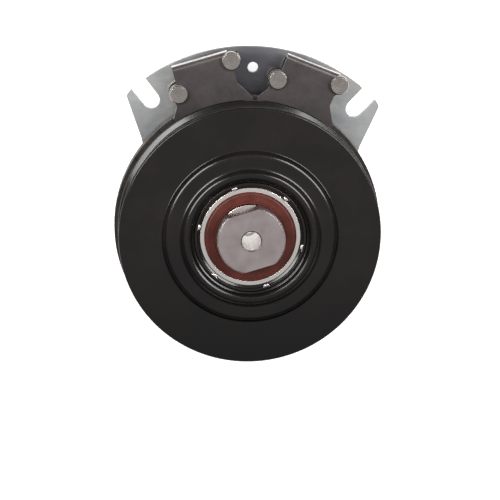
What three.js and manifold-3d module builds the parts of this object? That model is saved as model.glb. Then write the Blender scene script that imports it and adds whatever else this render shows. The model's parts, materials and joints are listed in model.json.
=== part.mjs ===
// Electromagnetic clutch with a permanent-magnet brake and a V-belt pulley.
// Millimetres. +Z is the clutch axis, from the rear of the field shell at Z = 0 towards the hub nose.
// +Y points to the middle of the slotted mounting plate.
import * as THREE from "three";
import { mergeVertices } from "three/addons/utils/BufferGeometryUtils.js";
import Module from "manifold-3d";

const wasm = await Module();
wasm.setup();

// ---------- driving dimensions ----------

const CLEARANCE = 0.1; // between stationary faces that touch
const WIDE_SIDES = 40; // facets of the large turned parts
const BEARING_SIDES = 24; // facets of the bearings and of what they are pressed into or onto
const PRESS_GAP = 0.05; // radial, between pressed cylinders

// Axial levels
const SHELL_FLOOR = 3;
const SHELL_H = 16.8;
const PLATE_Z = 17;
const PLATE_T = 3;
const ROTOR_Z = 21.7;
const ROTOR_T = 3.7;
const AIR_GAP = 0.5;
const ARMATURE_Z = ROTOR_Z + ROTOR_T + AIR_GAP;
const ARMATURE_T = 3.8;
const POLE_Z = ARMATURE_Z + ARMATURE_T + 0.15;
const POLE_T = 2.4;
const FRONT_Z = 57; // flat front of the pulley, and front face of its bearing
const NOSE_H = 10.8;

const CUT = 1; // how far a cutting tool runs past a face

// Pulley
const PULLEY_R = 81;
const GROOVE_R = 62;
const GROOVE_SLOPE = Math.tan(THREE.MathUtils.degToRad(17));
const FRONT_LIP_T = 3.2;
const REAR_RIM_FRONT = 35;
const REAR_RIM_BACK = 32.8;
const WEB_T = 2.5;
const HUB_FLANGE_T = 2.8;
const HUB_FLANGE_R = 50;
const HUB_WALL = 3.4;
const HUB_FRONT = FRONT_Z + 1.5;

// Bearings: bore, outside diameter, width
const PULLEY_BEARING = { bore: 30, outside: 62, width: 16, ball: 9.2, balls: 9, z: FRONT_Z - 16 };
const FIELD_BEARING = { bore: 35, outside: 62, width: 14, ball: 7.6, balls: 11, z: SHELL_FLOOR + 0.2 };

// Rotor, armature, hub and nose
const ROTOR_R = 83.2;
const ARMATURE_INNER_R = 50;
const CRANK_R = 12.7;
const KEY_W = 6.35;
const KEY_DEPTH = 2.8;
const HUB_R = 20.1;
const SOCKET_Z = 33;
const NOSE_R = 21;
const NOSE_FLATS = 36;
const FLAT_ANGLE = THREE.MathUtils.degToRad(19.5);
const BOLT_HOLE_R = 5.85;

// Field shell and coil
const SHELL_R = 78.6;
const SHELL_WALL = 3;
const BOSS_R = 35;
const BOSS_H = 18.2;
const COIL_INNER_R = 43;
const COIL_OUTER_R = 68;
const LEAD_R = 1.1;
const LEAD_Z = 5.2;
const LEAD_X = 4.5;
const LEAD_SIDES = 10;
const TANGS = 6;
const TANG_HALF_W = 4;
const TANG_INNER_R = 75.9;
const TANG_OUTER_R = 78.3;

// Mounting plate
const PLATE_RING_R = 80;
const PLATE_BORE_R = SHELL_R - SHELL_WALL + 0.1;
const PLATE_ARC_R = 112;
const SLOT_CENTRE_R = 98.6;
const SLOT_W = 10.5;
const SLOT_ANGLE = THREE.MathUtils.degToRad(40);
const PLATE_HOLE = { x: -1.5, y: 98.8, radius: 3.25 };

// Brake stacks, each in its own frame with +Y pointing outwards from the clutch axis
const BRAKE_ANGLE = THREE.MathUtils.degToRad(18.9);
const BRAKE_INNER_R = 68.5;
const BACKING_T = 2.4;
const BACKING_INNER_R = 84.8;
const RIVET_A = new THREE.Vector2(-17.9, 93.2);
const RIVET_B = new THREE.Vector2(18.7, 104.1);
const RIVET_SHANK_R = 2.5;
const RIVET_HOLE_R = RIVET_SHANK_R + 0.2;
const RIVET_HEAD_R = 5.8;
const RIVET_TAIL_R = 5;
const RIVET_SIDES = 12;
const SPACER_R = 3.5;
const BOSS_CORNER_R = 6;
const FLANGE_OUTER_Y = 109.9;
const FLANGE_T = 2.2;
const FLANGE_HALF_W = 17.6;
const FLANGE_LOW = 25;
const BACKING_OUTER_Y = 107.5;
const MAGNET = { halfW: 12.5, innerY: 87, outerY: 106.9 };

// Leaf springs between the pulley and the armature
const SPRING_T = 0.8;
const SPRING_W = 11;
const SPRING_Y = 44;
const SPRING_PULLEY_X = -13;
const SPRING_ARMATURE_X = 38;
const SPRING_TOP = REAR_RIM_BACK + 1.1;
const SPRING_RIVET_R = 2.4;
const SPRING_HOLE_R = SPRING_RIVET_R + 0.15;
const SPRING_RIVET_SIDES = 10;

// ---------- materials ----------

const paint = (color, roughness, metalness) =>
  new THREE.MeshStandardMaterial({ color, roughness, metalness });
const MAT = {
  blackCoat: paint(0x1d1c1b, 0.35, 0.2),
  zinc: paint(0x98999a, 0.4, 0.9),
  oxide: paint(0x4d4846, 0.45, 0.7),
  bearingSteel: paint(0xb9b2ac, 0.25, 1.0),
  seal: paint(0x6b2a1d, 0.6, 0.0),
  hubSteel: paint(0x968f8d, 0.4, 1.0),
  rotorSteel: paint(0x4b443e, 0.55, 0.8),
  rivetSteel: paint(0xb4aca6, 0.3, 1.0),
  springSteel: paint(0x6f7176, 0.35, 1.0),
  ferrite: paint(0x2f2e30, 0.7, 0.1),
  copper: paint(0xa65a2a, 0.4, 0.9),
  bobbinPlastic: paint(0xd8d2c2, 0.6, 0.0),
  blackPlastic: paint(0x151515, 0.5, 0.0),
  resin: paint(0x2a2622, 0.5, 0.0),
  brass: paint(0xc9a24c, 0.3, 1.0),
};

// ---------- geometry helpers ----------

const clutch = new THREE.Group();

// A turned solid: the profile is a list of [radius, height] pairs, closed on itself or on the axis.
function turned(profile, segments) {
  const area = profile.reduce((sum, [r, z], i) => {
    const [r2, z2] = profile[(i + 1) % profile.length];
    return sum + r * z2 - r2 * z;
  }, 0);
  const points = (area > 0 ? profile : [...profile].reverse()).map(([r, z]) => new THREE.Vector2(r, z));
  if (points[0].x > 0) points.push(points[0].clone());
  return new THREE.LatheGeometry(points, segments).rotateX(Math.PI / 2);
}

const ring = (inner, outer, low, high, segments) =>
  turned([[inner, low], [outer, low], [outer, high], [inner, high]], segments);

const rod = (radius, low, high, segments = 16) =>
  turned([[0, low], [radius, low], [radius, high], [0, high]], segments);

// A flat piece: a shape in the XY plane, from one height to another.
const slab = (shape, low, high, curveSegments = 8) =>
  new THREE.ExtrudeGeometry(shape, { depth: high - low, bevelEnabled: false, curveSegments })
    .translate(0, 0, low);

const block = (x0, x1, y0, y1, z0, z1) =>
  new THREE.BoxGeometry(x1 - x0, y1 - y0, z1 - z0).translate((x0 + x1) / 2, (y0 + y1) / 2, (z0 + z1) / 2);

function toSolid(geometry) {
  const bare = geometry.index ? geometry.toNonIndexed() : geometry.clone();
  bare.deleteAttribute("normal");
  bare.deleteAttribute("uv");
  const merged = mergeVertices(bare, 1e-4);
  return new wasm.Manifold(
    new wasm.Mesh({
      numProp: 3,
      vertProperties: merged.attributes.position.array,
      triVerts: new Uint32Array(merged.index.array),
    }),
  );
}

function toGeometry(solid) {
  const { vertProperties, triVerts } = solid.getMesh();
  const geometry = new THREE.BufferGeometry();
  geometry.setAttribute("position", new THREE.BufferAttribute(vertProperties, 3));
  geometry.setIndex(new THREE.BufferAttribute(triVerts, 1));
  geometry.computeVertexNormals();
  return geometry;
}

const cut = (geometry, ...tools) =>
  toGeometry(tools.reduce((solid, tool) => solid.subtract(toSolid(tool)), toSolid(geometry)));

const join = (geometry, ...others) =>
  toGeometry(others.reduce((solid, other) => solid.add(toSolid(other)), toSolid(geometry)));

function add(name, geometry, material, parent = clutch) {
  const mesh = new THREE.Mesh(geometry, material);
  mesh.name = name;
  parent.add(mesh);
  return mesh;
}

// A group turned about the clutch axis.
function turnedGroup(angle) {
  const group = new THREE.Group();
  group.rotation.z = angle;
  clutch.add(group);
  return group;
}

const onCircle = (radius, angle) =>
  new THREE.Vector2(radius * Math.cos(angle), radius * Math.sin(angle));

// Curved slots spread evenly round a ring, each spanning the given angle.
function bananaSlots(count, span, innerR, outerR, low, high) {
  return Array.from({ length: count }, (_, i) => {
    const start = (i * 2 * Math.PI) / count;
    const shape = new THREE.Shape();
    shape.absarc(0, 0, outerR, start, start + span, false);
    shape.absarc(0, 0, innerR, start + span, start, true);
    return slab(shape, low, high, 3);
  });
}

// ---------- bearings ----------

// Ball bearing split into its races, its two seals, and its balls joined by their cage.
function bearing(prefix, { bore, outside, width, ball, balls, z }, segments) {
  const inner = bore / 2 + PRESS_GAP;
  const outer = outside / 2;
  const pitch = (bore + outside) / 4;
  const ballR = ball / 2;
  const middle = z + width / 2;
  const innerShoulder = pitch - 0.6 * ballR;
  const outerShoulder = pitch + 0.7 * ballR;
  const recess = outer - 2.7;
  const sealDepth = 2.4;
  const grooveHalf = 0.86 * ballR;
  const floor = 0.25 * ballR;
  const innerFloor = pitch - ballR - 0.25;
  const outerFloor = pitch + ballR + 0.45;
  add(
    `${prefix}_outer_race`,
    turned(
      [
        [outer, z],
        [outer, z + width],
        [recess, z + width],
        [recess, z + width - sealDepth],
        [outerShoulder, z + width - sealDepth],
        [outerShoulder, middle + grooveHalf],
        [outerFloor, middle + floor],
        [outerFloor, middle - floor],
        [outerShoulder, middle - grooveHalf],
        [outerShoulder, z + sealDepth],
        [recess, z + sealDepth],
        [recess, z],
      ],
      segments,
    ),
    MAT.bearingSteel,
  );
  add(
    `${prefix}_inner_race`,
    turned(
      [
        [inner, z],
        [innerShoulder, z],
        [innerShoulder, middle - grooveHalf - 0.3],
        [innerFloor, middle - floor],
        [innerFloor, middle + floor],
        [innerShoulder, middle + grooveHalf + 0.3],
        [innerShoulder, z + width],
        [inner, z + width],
      ],
      segments,
    ),
    MAT.bearingSteel,
  );
  const sealBand = [innerShoulder + 0.35, recess - 0.2];
  add(`${prefix}_front_seal`, ring(...sealBand, z + width - 2.1, z + width - 0.4, segments), MAT.seal);
  add(`${prefix}_rear_seal`, ring(...sealBand, z + 0.4, z + 2.1, segments), MAT.seal);
  const spheres = Array.from({ length: balls }, (_, i) => {
    const { x, y } = onCircle(pitch, (2 * Math.PI * i) / balls);
    return new THREE.SphereGeometry(ballR, 6, 4).translate(x, y, middle);
  });
  const cage = ring(pitch - 0.8, pitch + 0.8, middle - 1.6, middle + 1.6, segments);
  add(`${prefix}_ball_cage`, join(cage, ...spheres), MAT.bearingSteel);
}

bearing("pulley_bearing", PULLEY_BEARING, BEARING_SIDES);
bearing("field_bearing", FIELD_BEARING, BEARING_SIDES);

// ---------- pulley ----------

const grooveFrontZ = (r) => FRONT_Z - FRONT_LIP_T - (PULLEY_R - r) * GROOVE_SLOPE;
const grooveRearZ = (r) => REAR_RIM_FRONT + (PULLEY_R - r) * GROOVE_SLOPE;
const SPLIT_Z = (grooveFrontZ(GROOVE_R) + grooveRearZ(GROOVE_R)) / 2;
const HUB_OUTER_R = PULLEY_BEARING.outside / 2 + HUB_WALL + 0.1;
const DRUM_R = GROOVE_R - 3;

add(
  "pulley_front_half",
  turned(
    [
      // front face, from the rolled crest round the hub out to the rim lip
      [HUB_OUTER_R + 0.3, FRONT_Z + 1.4],
      [36.3, FRONT_Z + 2.2],
      [37.4, FRONT_Z + 4.4],
      [38.6, FRONT_Z + 5],
      [40, FRONT_Z + 4.4],
      [42.6, FRONT_Z + 2.7],
      [49, FRONT_Z + 2.3],
      [52, FRONT_Z + 0.8],
      [55.5, FRONT_Z],
      [77, FRONT_Z],
      [79.2, FRONT_Z + 0.9],
      [80.4, FRONT_Z + 0.2],
      [PULLEY_R, FRONT_Z - 1.6],
      [PULLEY_R - 0.3, grooveFrontZ(PULLEY_R - 0.3)],
      // groove, then back inside
      [GROOVE_R, grooveFrontZ(GROOVE_R)],
      [GROOVE_R, SPLIT_Z + 0.15],
      [DRUM_R, SPLIT_Z + 0.15],
      [DRUM_R, FRONT_Z - 5],
      [54.5, FRONT_Z - 3],
      [48.4, FRONT_Z - 0.8],
      [41.8, FRONT_Z - 0.4],
      [38.6, FRONT_Z + 1.8],
      [HUB_OUTER_R + 0.3, FRONT_Z - 1.6],
    ],
    WIDE_SIDES,
  ),
  MAT.blackCoat,
);

const WEB_BACK = SPRING_TOP + 0.2;
const WEB_FRONT = WEB_BACK + WEB_T;
add(
  "pulley_rear_half",
  turned(
    [
      [DRUM_R, SPLIT_Z - 0.15],
      [GROOVE_R, SPLIT_Z - 0.15],
      [GROOVE_R, grooveRearZ(GROOVE_R)],
      [PULLEY_R - 0.6, grooveRearZ(PULLEY_R - 0.6)],
      [PULLEY_R, REAR_RIM_FRONT - 0.7],
      [PULLEY_R - 0.2, REAR_RIM_BACK + 0.5],
      [PULLEY_R - 0.9, REAR_RIM_BACK],
      [PULLEY_R - 2.6, REAR_RIM_BACK],
      [GROOVE_R + 4, WEB_FRONT],
      [GROOVE_R + 0.5, WEB_BACK],
      [HUB_OUTER_R + 1.6, WEB_BACK],
      [HUB_OUTER_R + 1.6, WEB_FRONT],
      [DRUM_R, WEB_FRONT],
    ],
    WIDE_SIDES,
  ),
  MAT.blackCoat,
);

const HUB_BACK = WEB_FRONT + 0.2;
const BEARING_SEAT_R = PULLEY_BEARING.outside / 2 + 0.1;
const PULLEY_SEAT_LIP = 2.5;
add(
  "pulley_hub",
  turned(
    [
      [BEARING_SEAT_R, HUB_FRONT],
      [HUB_OUTER_R, HUB_FRONT],
      [HUB_OUTER_R, HUB_BACK + HUB_FLANGE_T],
      [HUB_FLANGE_R, HUB_BACK + HUB_FLANGE_T],
      [HUB_FLANGE_R, HUB_BACK],
      [BEARING_SEAT_R - PULLEY_SEAT_LIP, HUB_BACK],
      [BEARING_SEAT_R - PULLEY_SEAT_LIP, PULLEY_BEARING.z - 0.2],
      [BEARING_SEAT_R, PULLEY_BEARING.z - 0.2],
    ],
    BEARING_SIDES,
  ),
  MAT.blackCoat,
);

// ---------- rotor, its hub and the nose ----------

const POLE_RING_LOW = SHELL_FLOOR + 5.2;
const OUTER_POLE_R = SHELL_R - SHELL_WALL - 0.6;
add(
  "rotor",
  cut(
    turned(
      [
        [ROTOR_R, ROTOR_Z + ROTOR_T],
        [ROTOR_R, ROTOR_Z + 0.6],
        [ROTOR_R - 0.6, ROTOR_Z],
        [OUTER_POLE_R, ROTOR_Z],
        [OUTER_POLE_R, POLE_RING_LOW],
        [OUTER_POLE_R - 4, POLE_RING_LOW],
        [OUTER_POLE_R - 4, ROTOR_Z],
        [COIL_INNER_R - 3, ROTOR_Z],
        [COIL_INNER_R - 3, POLE_RING_LOW],
        [BOSS_R + 1, POLE_RING_LOW],
        [BOSS_R + 1, BOSS_H + 0.8],
        [HUB_R + CLEARANCE, BOSS_H + 0.8],
        [HUB_R + CLEARANCE, ROTOR_Z + 7.3],
        [HUB_R + 6, ROTOR_Z + 7.3],
        [HUB_R + 8, ROTOR_Z + ROTOR_T],
      ],
      WIDE_SIDES,
    ),
    ...bananaSlots(6, 0.8, 52, 55, ROTOR_Z - CUT, ROTOR_Z + ROTOR_T + CUT),
  ),
  MAT.rotorSteel,
);

const RING_GROOVE = { low: 1.7, high: 2.9, floor: 16.4 };
const JOURNAL_R = FIELD_BEARING.bore / 2;
const SHOULDER_Z = FIELD_BEARING.z + FIELD_BEARING.width + 0.2;
const HUB_TOP = PULLEY_BEARING.z - 0.2;
add(
  "rotor_hub",
  cut(
    turned(
      [
        [CRANK_R, 0.6],
        [JOURNAL_R - 0.6, 0.6],
        [JOURNAL_R, 1.1],
        [JOURNAL_R, RING_GROOVE.low],
        [RING_GROOVE.floor, RING_GROOVE.low],
        [RING_GROOVE.floor, RING_GROOVE.high],
        [JOURNAL_R, RING_GROOVE.high],
        [JOURNAL_R, SHOULDER_Z],
        [HUB_R, SHOULDER_Z],
        [HUB_R, HUB_TOP],
        [PULLEY_BEARING.bore / 2 + 0.1, HUB_TOP],
        [PULLEY_BEARING.bore / 2 + 0.1, SOCKET_Z],
        [CRANK_R, SOCKET_Z],
      ],
      BEARING_SIDES,
    ),
    block(-KEY_W / 2, KEY_W / 2, 0, CRANK_R + KEY_DEPTH, -1, SOCKET_Z + 0.01),
  ),
  MAT.hubSteel,
);

// Open ring in the groove behind the field bearing
add(
  "field_bearing_snap_ring",
  cut(
    ring(
      RING_GROOVE.floor + CLEARANCE,
      JOURNAL_R + 2,
      RING_GROOVE.low + CLEARANCE,
      RING_GROOVE.high - CLEARANCE,
      BEARING_SIDES,
    ),
    block(-3, 3, 10, 25, 0, 4),
  ),
  MAT.springSteel,
);

const flatCutter = (side) =>
  block(-30, 30, side > 0 ? NOSE_FLATS / 2 : -30, side > 0 ? 30 : -NOSE_FLATS / 2, FRONT_Z, FRONT_Z + 20)
    .rotateZ(FLAT_ANGLE);
add(
  "hub_nose",
  cut(
    turned(
      [
        [BOLT_HOLE_R, FRONT_Z + NOSE_H - 0.9],
        [BOLT_HOLE_R + 0.9, FRONT_Z + NOSE_H],
        [NOSE_R - 0.8, FRONT_Z + NOSE_H],
        [NOSE_R, FRONT_Z + NOSE_H - 0.8],
        [NOSE_R, FRONT_Z + 0.2],
        [PULLEY_BEARING.bore / 2, FRONT_Z + 0.2],
        [PULLEY_BEARING.bore / 2, SOCKET_Z + 0.2],
        [BOLT_HOLE_R, SOCKET_Z + 0.2],
      ],
      BEARING_SIDES,
    ),
    flatCutter(1),
    flatCutter(-1),
  ),
  MAT.hubSteel,
);

// ---------- armature ----------

const springAngles = [0, 1, 2].map((i) => (i * 2 * Math.PI) / 3);
const armatureRivetSpots = springAngles.map((angle) =>
  new THREE.Vector2(SPRING_ARMATURE_X, SPRING_Y).rotateAround(new THREE.Vector2(), angle));
const ARMATURE_TOP = ARMATURE_Z + ARMATURE_T;
const COUNTERBORE_R = 4.4;
add(
  "armature",
  cut(
    ring(ARMATURE_INNER_R, ROTOR_R, ARMATURE_Z, ARMATURE_TOP, WIDE_SIDES),
    ...bananaSlots(3, 1.5, 66, 68.5, ARMATURE_Z - CUT, ARMATURE_TOP + CUT),
    ...armatureRivetSpots.flatMap(({ x, y }) => [
      rod(SPRING_HOLE_R, ARMATURE_Z - CUT, ARMATURE_TOP + CUT, SPRING_RIVET_SIDES).translate(x, y, 0),
      rod(COUNTERBORE_R, ARMATURE_Z - CUT, ARMATURE_Z + 1.2, SPRING_RIVET_SIDES).translate(x, y, 0),
    ]),
  ),
  MAT.rotorSteel,
);

// ---------- leaf springs and their rivets ----------

const SPRING_LOW = ARMATURE_TOP + 0.15;
const SPRING_HEAD_R = 4;
const FLANGE_FRONT = HUB_BACK + HUB_FLANGE_T;
function leafSpring() {
  const pulleyEnd = SPRING_PULLEY_X - 5.5;
  const pulleyBend = SPRING_PULLEY_X + 8;
  const armatureBend = SPRING_ARMATURE_X - 10;
  const armatureEnd = SPRING_ARMATURE_X + 5.5;
  const side = new THREE.Shape();
  side.moveTo(pulleyEnd, SPRING_TOP - SPRING_T);
  side.lineTo(pulleyBend, SPRING_TOP - SPRING_T);
  side.lineTo(armatureBend, SPRING_LOW);
  side.lineTo(armatureEnd, SPRING_LOW);
  side.lineTo(armatureEnd, SPRING_LOW + SPRING_T);
  side.lineTo(armatureBend, SPRING_LOW + SPRING_T);
  side.lineTo(pulleyBend, SPRING_TOP);
  side.lineTo(pulleyEnd, SPRING_TOP);
  const strip = new THREE.ExtrudeGeometry(side, { depth: SPRING_W, bevelEnabled: false })
    .rotateX(Math.PI / 2)
    .translate(0, SPRING_Y + SPRING_W / 2, 0);
  const holes = [SPRING_PULLEY_X, SPRING_ARMATURE_X].map((x) =>
    rod(SPRING_HOLE_R, SPRING_LOW - CUT, SPRING_TOP + CUT, SPRING_RIVET_SIDES).translate(x, SPRING_Y, 0));
  return cut(strip, ...holes);
}

const pulleyRivet = () =>
  turned(
    [
      [0, SPRING_TOP - SPRING_T - 1.2],
      [SPRING_HEAD_R, SPRING_TOP - SPRING_T - 1.2],
      [SPRING_HEAD_R, SPRING_TOP - SPRING_T - CLEARANCE],
      [SPRING_RIVET_R, SPRING_TOP - SPRING_T - CLEARANCE],
      [SPRING_RIVET_R, FLANGE_FRONT + CLEARANCE],
      [SPRING_HEAD_R, FLANGE_FRONT + CLEARANCE],
      [SPRING_HEAD_R - 0.8, FLANGE_FRONT + 1.6],
      [0, FLANGE_FRONT + 1.6],
    ],
    SPRING_RIVET_SIDES,
  );
const armatureRivet = () =>
  turned(
    [
      [0, ARMATURE_Z + 0.2],
      [COUNTERBORE_R - 0.3, ARMATURE_Z + 0.2],
      [COUNTERBORE_R - 0.3, ARMATURE_Z + 1.1],
      [SPRING_RIVET_R, ARMATURE_Z + 1.1],
      [SPRING_RIVET_R, SPRING_LOW + SPRING_T + CLEARANCE],
      [SPRING_HEAD_R, SPRING_LOW + SPRING_T + CLEARANCE],
      [SPRING_HEAD_R - 0.8, SPRING_LOW + SPRING_T + 1.4],
      [0, SPRING_LOW + SPRING_T + 1.4],
    ],
    SPRING_RIVET_SIDES,
  );

springAngles.forEach((angle, i) => {
  const group = turnedGroup(angle);
  add(`leaf_spring_${i + 1}`, leafSpring(), MAT.springSteel, group);
  const pulleySide = add(`pulley_spring_rivet_${i + 1}`, pulleyRivet(), MAT.rivetSteel, group);
  pulleySide.position.set(SPRING_PULLEY_X, SPRING_Y, 0);
  const armatureSide = add(`armature_spring_rivet_${i + 1}`, armatureRivet(), MAT.rivetSteel, group);
  armatureSide.position.set(SPRING_ARMATURE_X, SPRING_Y, 0);
});

// The web and the hub flange are drilled for the rivets that hold the springs.
for (const name of ["pulley_rear_half", "pulley_hub"]) {
  const mesh = clutch.getObjectByName(name);
  const drills = springAngles.map((angle) =>
    rod(SPRING_HOLE_R, WEB_BACK - CUT, FLANGE_FRONT + CUT, SPRING_RIVET_SIDES)
      .translate(SPRING_PULLEY_X, SPRING_Y, 0)
      .rotateZ(angle));
  mesh.geometry = cut(mesh.geometry, ...drills);
}

// ---------- field: shell, coil, connector ----------

const FIELD_SEAT_R = FIELD_BEARING.outside / 2 + 0.2;
const SEAT_LIP = 2.5; // radial width of the lip that a bearing rests on
const tangAngles = Array.from({ length: TANGS }, (_, i) => (i * 2 * Math.PI) / TANGS);
const shellTang = (angle) =>
  block(TANG_INNER_R, TANG_OUTER_R, -TANG_HALF_W, TANG_HALF_W, SHELL_H - CUT, PLATE_Z + PLATE_T + 0.5)
    .rotateZ(angle);
const leadHole = (side) =>
  rod(LEAD_R + 0.3, COIL_OUTER_R - 2, SHELL_R + 2, LEAD_SIDES)
    .rotateX(Math.PI / 2)
    .translate(side * LEAD_X, 0, LEAD_Z);
add(
  "field_shell",
  cut(
    join(
      turned(
        [
          [FIELD_SEAT_R - SEAT_LIP, 0],
          [SHELL_R, 0],
          [SHELL_R, SHELL_H],
          [SHELL_R - SHELL_WALL, SHELL_H],
          [SHELL_R - SHELL_WALL, SHELL_FLOOR],
          [BOSS_R, SHELL_FLOOR],
          [BOSS_R, BOSS_H],
          [FIELD_SEAT_R, BOSS_H],
          [FIELD_SEAT_R, SHELL_FLOOR + CLEARANCE],
          [FIELD_SEAT_R - SEAT_LIP, SHELL_FLOOR + CLEARANCE],
        ],
        WIDE_SIDES,
      ),
      ...tangAngles.map(shellTang),
    ),
    leadHole(-1),
    leadHole(1),
  ),
  MAT.zinc,
);

add(
  "coil_bobbin",
  turned(
    [
      [COIL_INNER_R, SHELL_FLOOR + 0.4],
      [COIL_OUTER_R, SHELL_FLOOR + 0.4],
      [COIL_OUTER_R, SHELL_FLOOR + 1.6],
      [COIL_INNER_R + 1.6, SHELL_FLOOR + 1.6],
      [COIL_INNER_R + 1.6, SHELL_H + 0.4],
      [COIL_OUTER_R, SHELL_H + 0.4],
      [COIL_OUTER_R, SHELL_H + 1.6],
      [COIL_INNER_R, SHELL_H + 1.6],
    ],
    BEARING_SIDES,
  ),
  MAT.bobbinPlastic,
);
add(
  "coil_winding",
  ring(COIL_INNER_R + 1.9, COIL_OUTER_R - 1.2, SHELL_FLOOR + 1.9, SHELL_H + 0.1, BEARING_SIDES),
  MAT.copper,
);
add(
  "potting_resin",
  cut(
    ring(COIL_OUTER_R + 0.2, SHELL_R - SHELL_WALL - 0.2, SHELL_FLOOR + 0.15, POLE_RING_LOW - 1.2, WIDE_SIDES),
    leadHole(-1),
    leadHole(1),
  ),
  MAT.resin,
);

const CONNECTOR_BACK = -SHELL_R - 0.4;
const CONNECTOR_FRONT = -93;
const CONNECTOR_X = 11;
const CONNECTOR_Z = [1.2, 15.2];
const CONNECTOR_WALL = 1.6;
const BLADE_Z = [4.4, 10.7];
const bladeBlock = (side, grow, y0, y1) =>
  block(side * LEAD_X - 0.5 - grow, side * LEAD_X + 0.5 + grow, y0, y1, BLADE_Z[0] - grow, BLADE_Z[1] + grow);
add(
  "connector_housing",
  cut(
    block(-CONNECTOR_X, CONNECTOR_X, CONNECTOR_FRONT, CONNECTOR_BACK, ...CONNECTOR_Z),
    block(
      -CONNECTOR_X + CONNECTOR_WALL,
      CONNECTOR_X - CONNECTOR_WALL,
      CONNECTOR_FRONT - 1,
      CONNECTOR_BACK - 3,
      CONNECTOR_Z[0] + CONNECTOR_WALL,
      CONNECTOR_Z[1] - CONNECTOR_WALL,
    ),
    bladeBlock(-1, 0.2, CONNECTOR_FRONT, CONNECTOR_BACK + 1),
    bladeBlock(1, 0.2, CONNECTOR_FRONT, CONNECTOR_BACK + 1),
  ),
  MAT.blackPlastic,
);
[-1, 1].forEach((side, i) => {
  const blade = bladeBlock(side, 0, CONNECTOR_FRONT + 2.5, CONNECTOR_BACK - 0.4);
  add(`connector_blade_${i + 1}`, blade, MAT.brass);
  const lead = rod(LEAD_R, COIL_OUTER_R + 0.3, -CONNECTOR_BACK - CLEARANCE, LEAD_SIDES).rotateX(Math.PI / 2);
  add(`coil_lead_${i + 1}`, lead.translate(side * LEAD_X, 0, LEAD_Z), MAT.resin);
});

// ---------- mounting plate ----------

const RIGHT_EAR = {
  tip: new THREE.Vector2(79, 77),
  root: new THREE.Vector2(68.5, 51.5),
  foot: new THREE.Vector2(66.6, 44.3),
};
function plateOutline() {
  const ear = RIGHT_EAR;
  const footAngle = ear.foot.angle();
  const arcEnd = Math.PI / 2 - SLOT_ANGLE - 0.045;
  const shape = new THREE.Shape();
  shape.absarc(0, 0, PLATE_RING_R, Math.PI - footAngle, 2 * Math.PI + footAngle, false);
  shape.lineTo(ear.root.x, ear.root.y);
  shape.lineTo(ear.tip.x - 0.4, ear.tip.y - 1);
  shape.quadraticCurveTo(ear.tip.x + 0.6, ear.tip.y + 2.6, ...onCircle(PLATE_ARC_R, arcEnd).toArray());
  shape.absarc(0, 0, PLATE_ARC_R, arcEnd, Math.PI - arcEnd, false);
  shape.quadraticCurveTo(-ear.tip.x - 0.6, ear.tip.y + 2.6, -ear.tip.x + 0.4, ear.tip.y - 1);
  shape.lineTo(-ear.root.x, ear.root.y);
  return shape;
}

// A slot open to the rim of the plate, with a round inner end.
function earSlot(side) {
  const half = SLOT_W / 2;
  const shape = new THREE.Shape();
  shape.moveTo(half, PLATE_ARC_R + 10);
  shape.lineTo(-half, PLATE_ARC_R + 10);
  shape.lineTo(-half, SLOT_CENTRE_R);
  shape.absarc(0, SLOT_CENTRE_R, half, Math.PI, 2 * Math.PI, false);
  return slab(shape, PLATE_Z - CUT, PLATE_Z + PLATE_T + CUT, 6).rotateZ(-side * SLOT_ANGLE);
}

const brakeAngles = [BRAKE_ANGLE, -BRAKE_ANGLE];
const rivetSpots = brakeAngles.flatMap((angle) =>
  [RIVET_A, RIVET_B].map((spot) => spot.clone().rotateAround(new THREE.Vector2(), angle)));
const tangNotch = (angle) =>
  block(
    TANG_INNER_R - 5,
    TANG_OUTER_R + 0.4,
    -TANG_HALF_W - 0.2,
    TANG_HALF_W + 0.2,
    PLATE_Z - CUT,
    PLATE_Z + PLATE_T + CUT,
  ).rotateZ(angle);
add(
  "mounting_plate",
  cut(
    slab(plateOutline(), PLATE_Z, PLATE_Z + PLATE_T, 16),
    rod(PLATE_BORE_R, PLATE_Z - CUT, PLATE_Z + PLATE_T + CUT, WIDE_SIDES),
    earSlot(-1),
    earSlot(1),
    rod(PLATE_HOLE.radius, PLATE_Z - CUT, PLATE_Z + PLATE_T + CUT).translate(PLATE_HOLE.x, PLATE_HOLE.y, 0),
    ...tangAngles.map(tangNotch),
    ...rivetSpots.map(({ x, y }) =>
      rod(RIVET_HOLE_R, PLATE_Z - CUT, PLATE_Z + PLATE_T + CUT, RIVET_SIDES).translate(x, y, 0)),
  ),
  MAT.zinc,
);

// ---------- brake stacks ----------

// Outline of a pole plate: rounded bosses round its two rivets, a waist, and a foot over the armature.
function poleOutline(outerY) {
  const footAngle = THREE.MathUtils.degToRad(17.4);
  const rightFoot = onCircle(BRAKE_INNER_R, Math.PI / 2 - footAngle);
  const shape = new THREE.Shape();
  shape.moveTo(rightFoot.x, rightFoot.y);
  shape.lineTo(25.4, 78.5);
  shape.lineTo(18.4, 89.5);
  shape.lineTo(18.4, 96.3);
  const bossEnd = Math.asin((outerY - RIVET_B.y) / BOSS_CORNER_R);
  shape.absarc(RIVET_B.x, RIVET_B.y, BOSS_CORNER_R, -1.3, bossEnd, false);
  shape.lineTo(-FLANGE_HALF_W, outerY);
  shape.absarc(RIVET_A.x, RIVET_A.y, BOSS_CORNER_R, 1.53, 4.1, false);
  shape.lineTo(-20.9, 86);
  shape.lineTo(-25.4, 78.5);
  shape.lineTo(-rightFoot.x, rightFoot.y);
  shape.absarc(0, 0, BRAKE_INNER_R, Math.PI / 2 + footAngle, Math.PI / 2 - footAngle, true);
  return shape;
}

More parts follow.
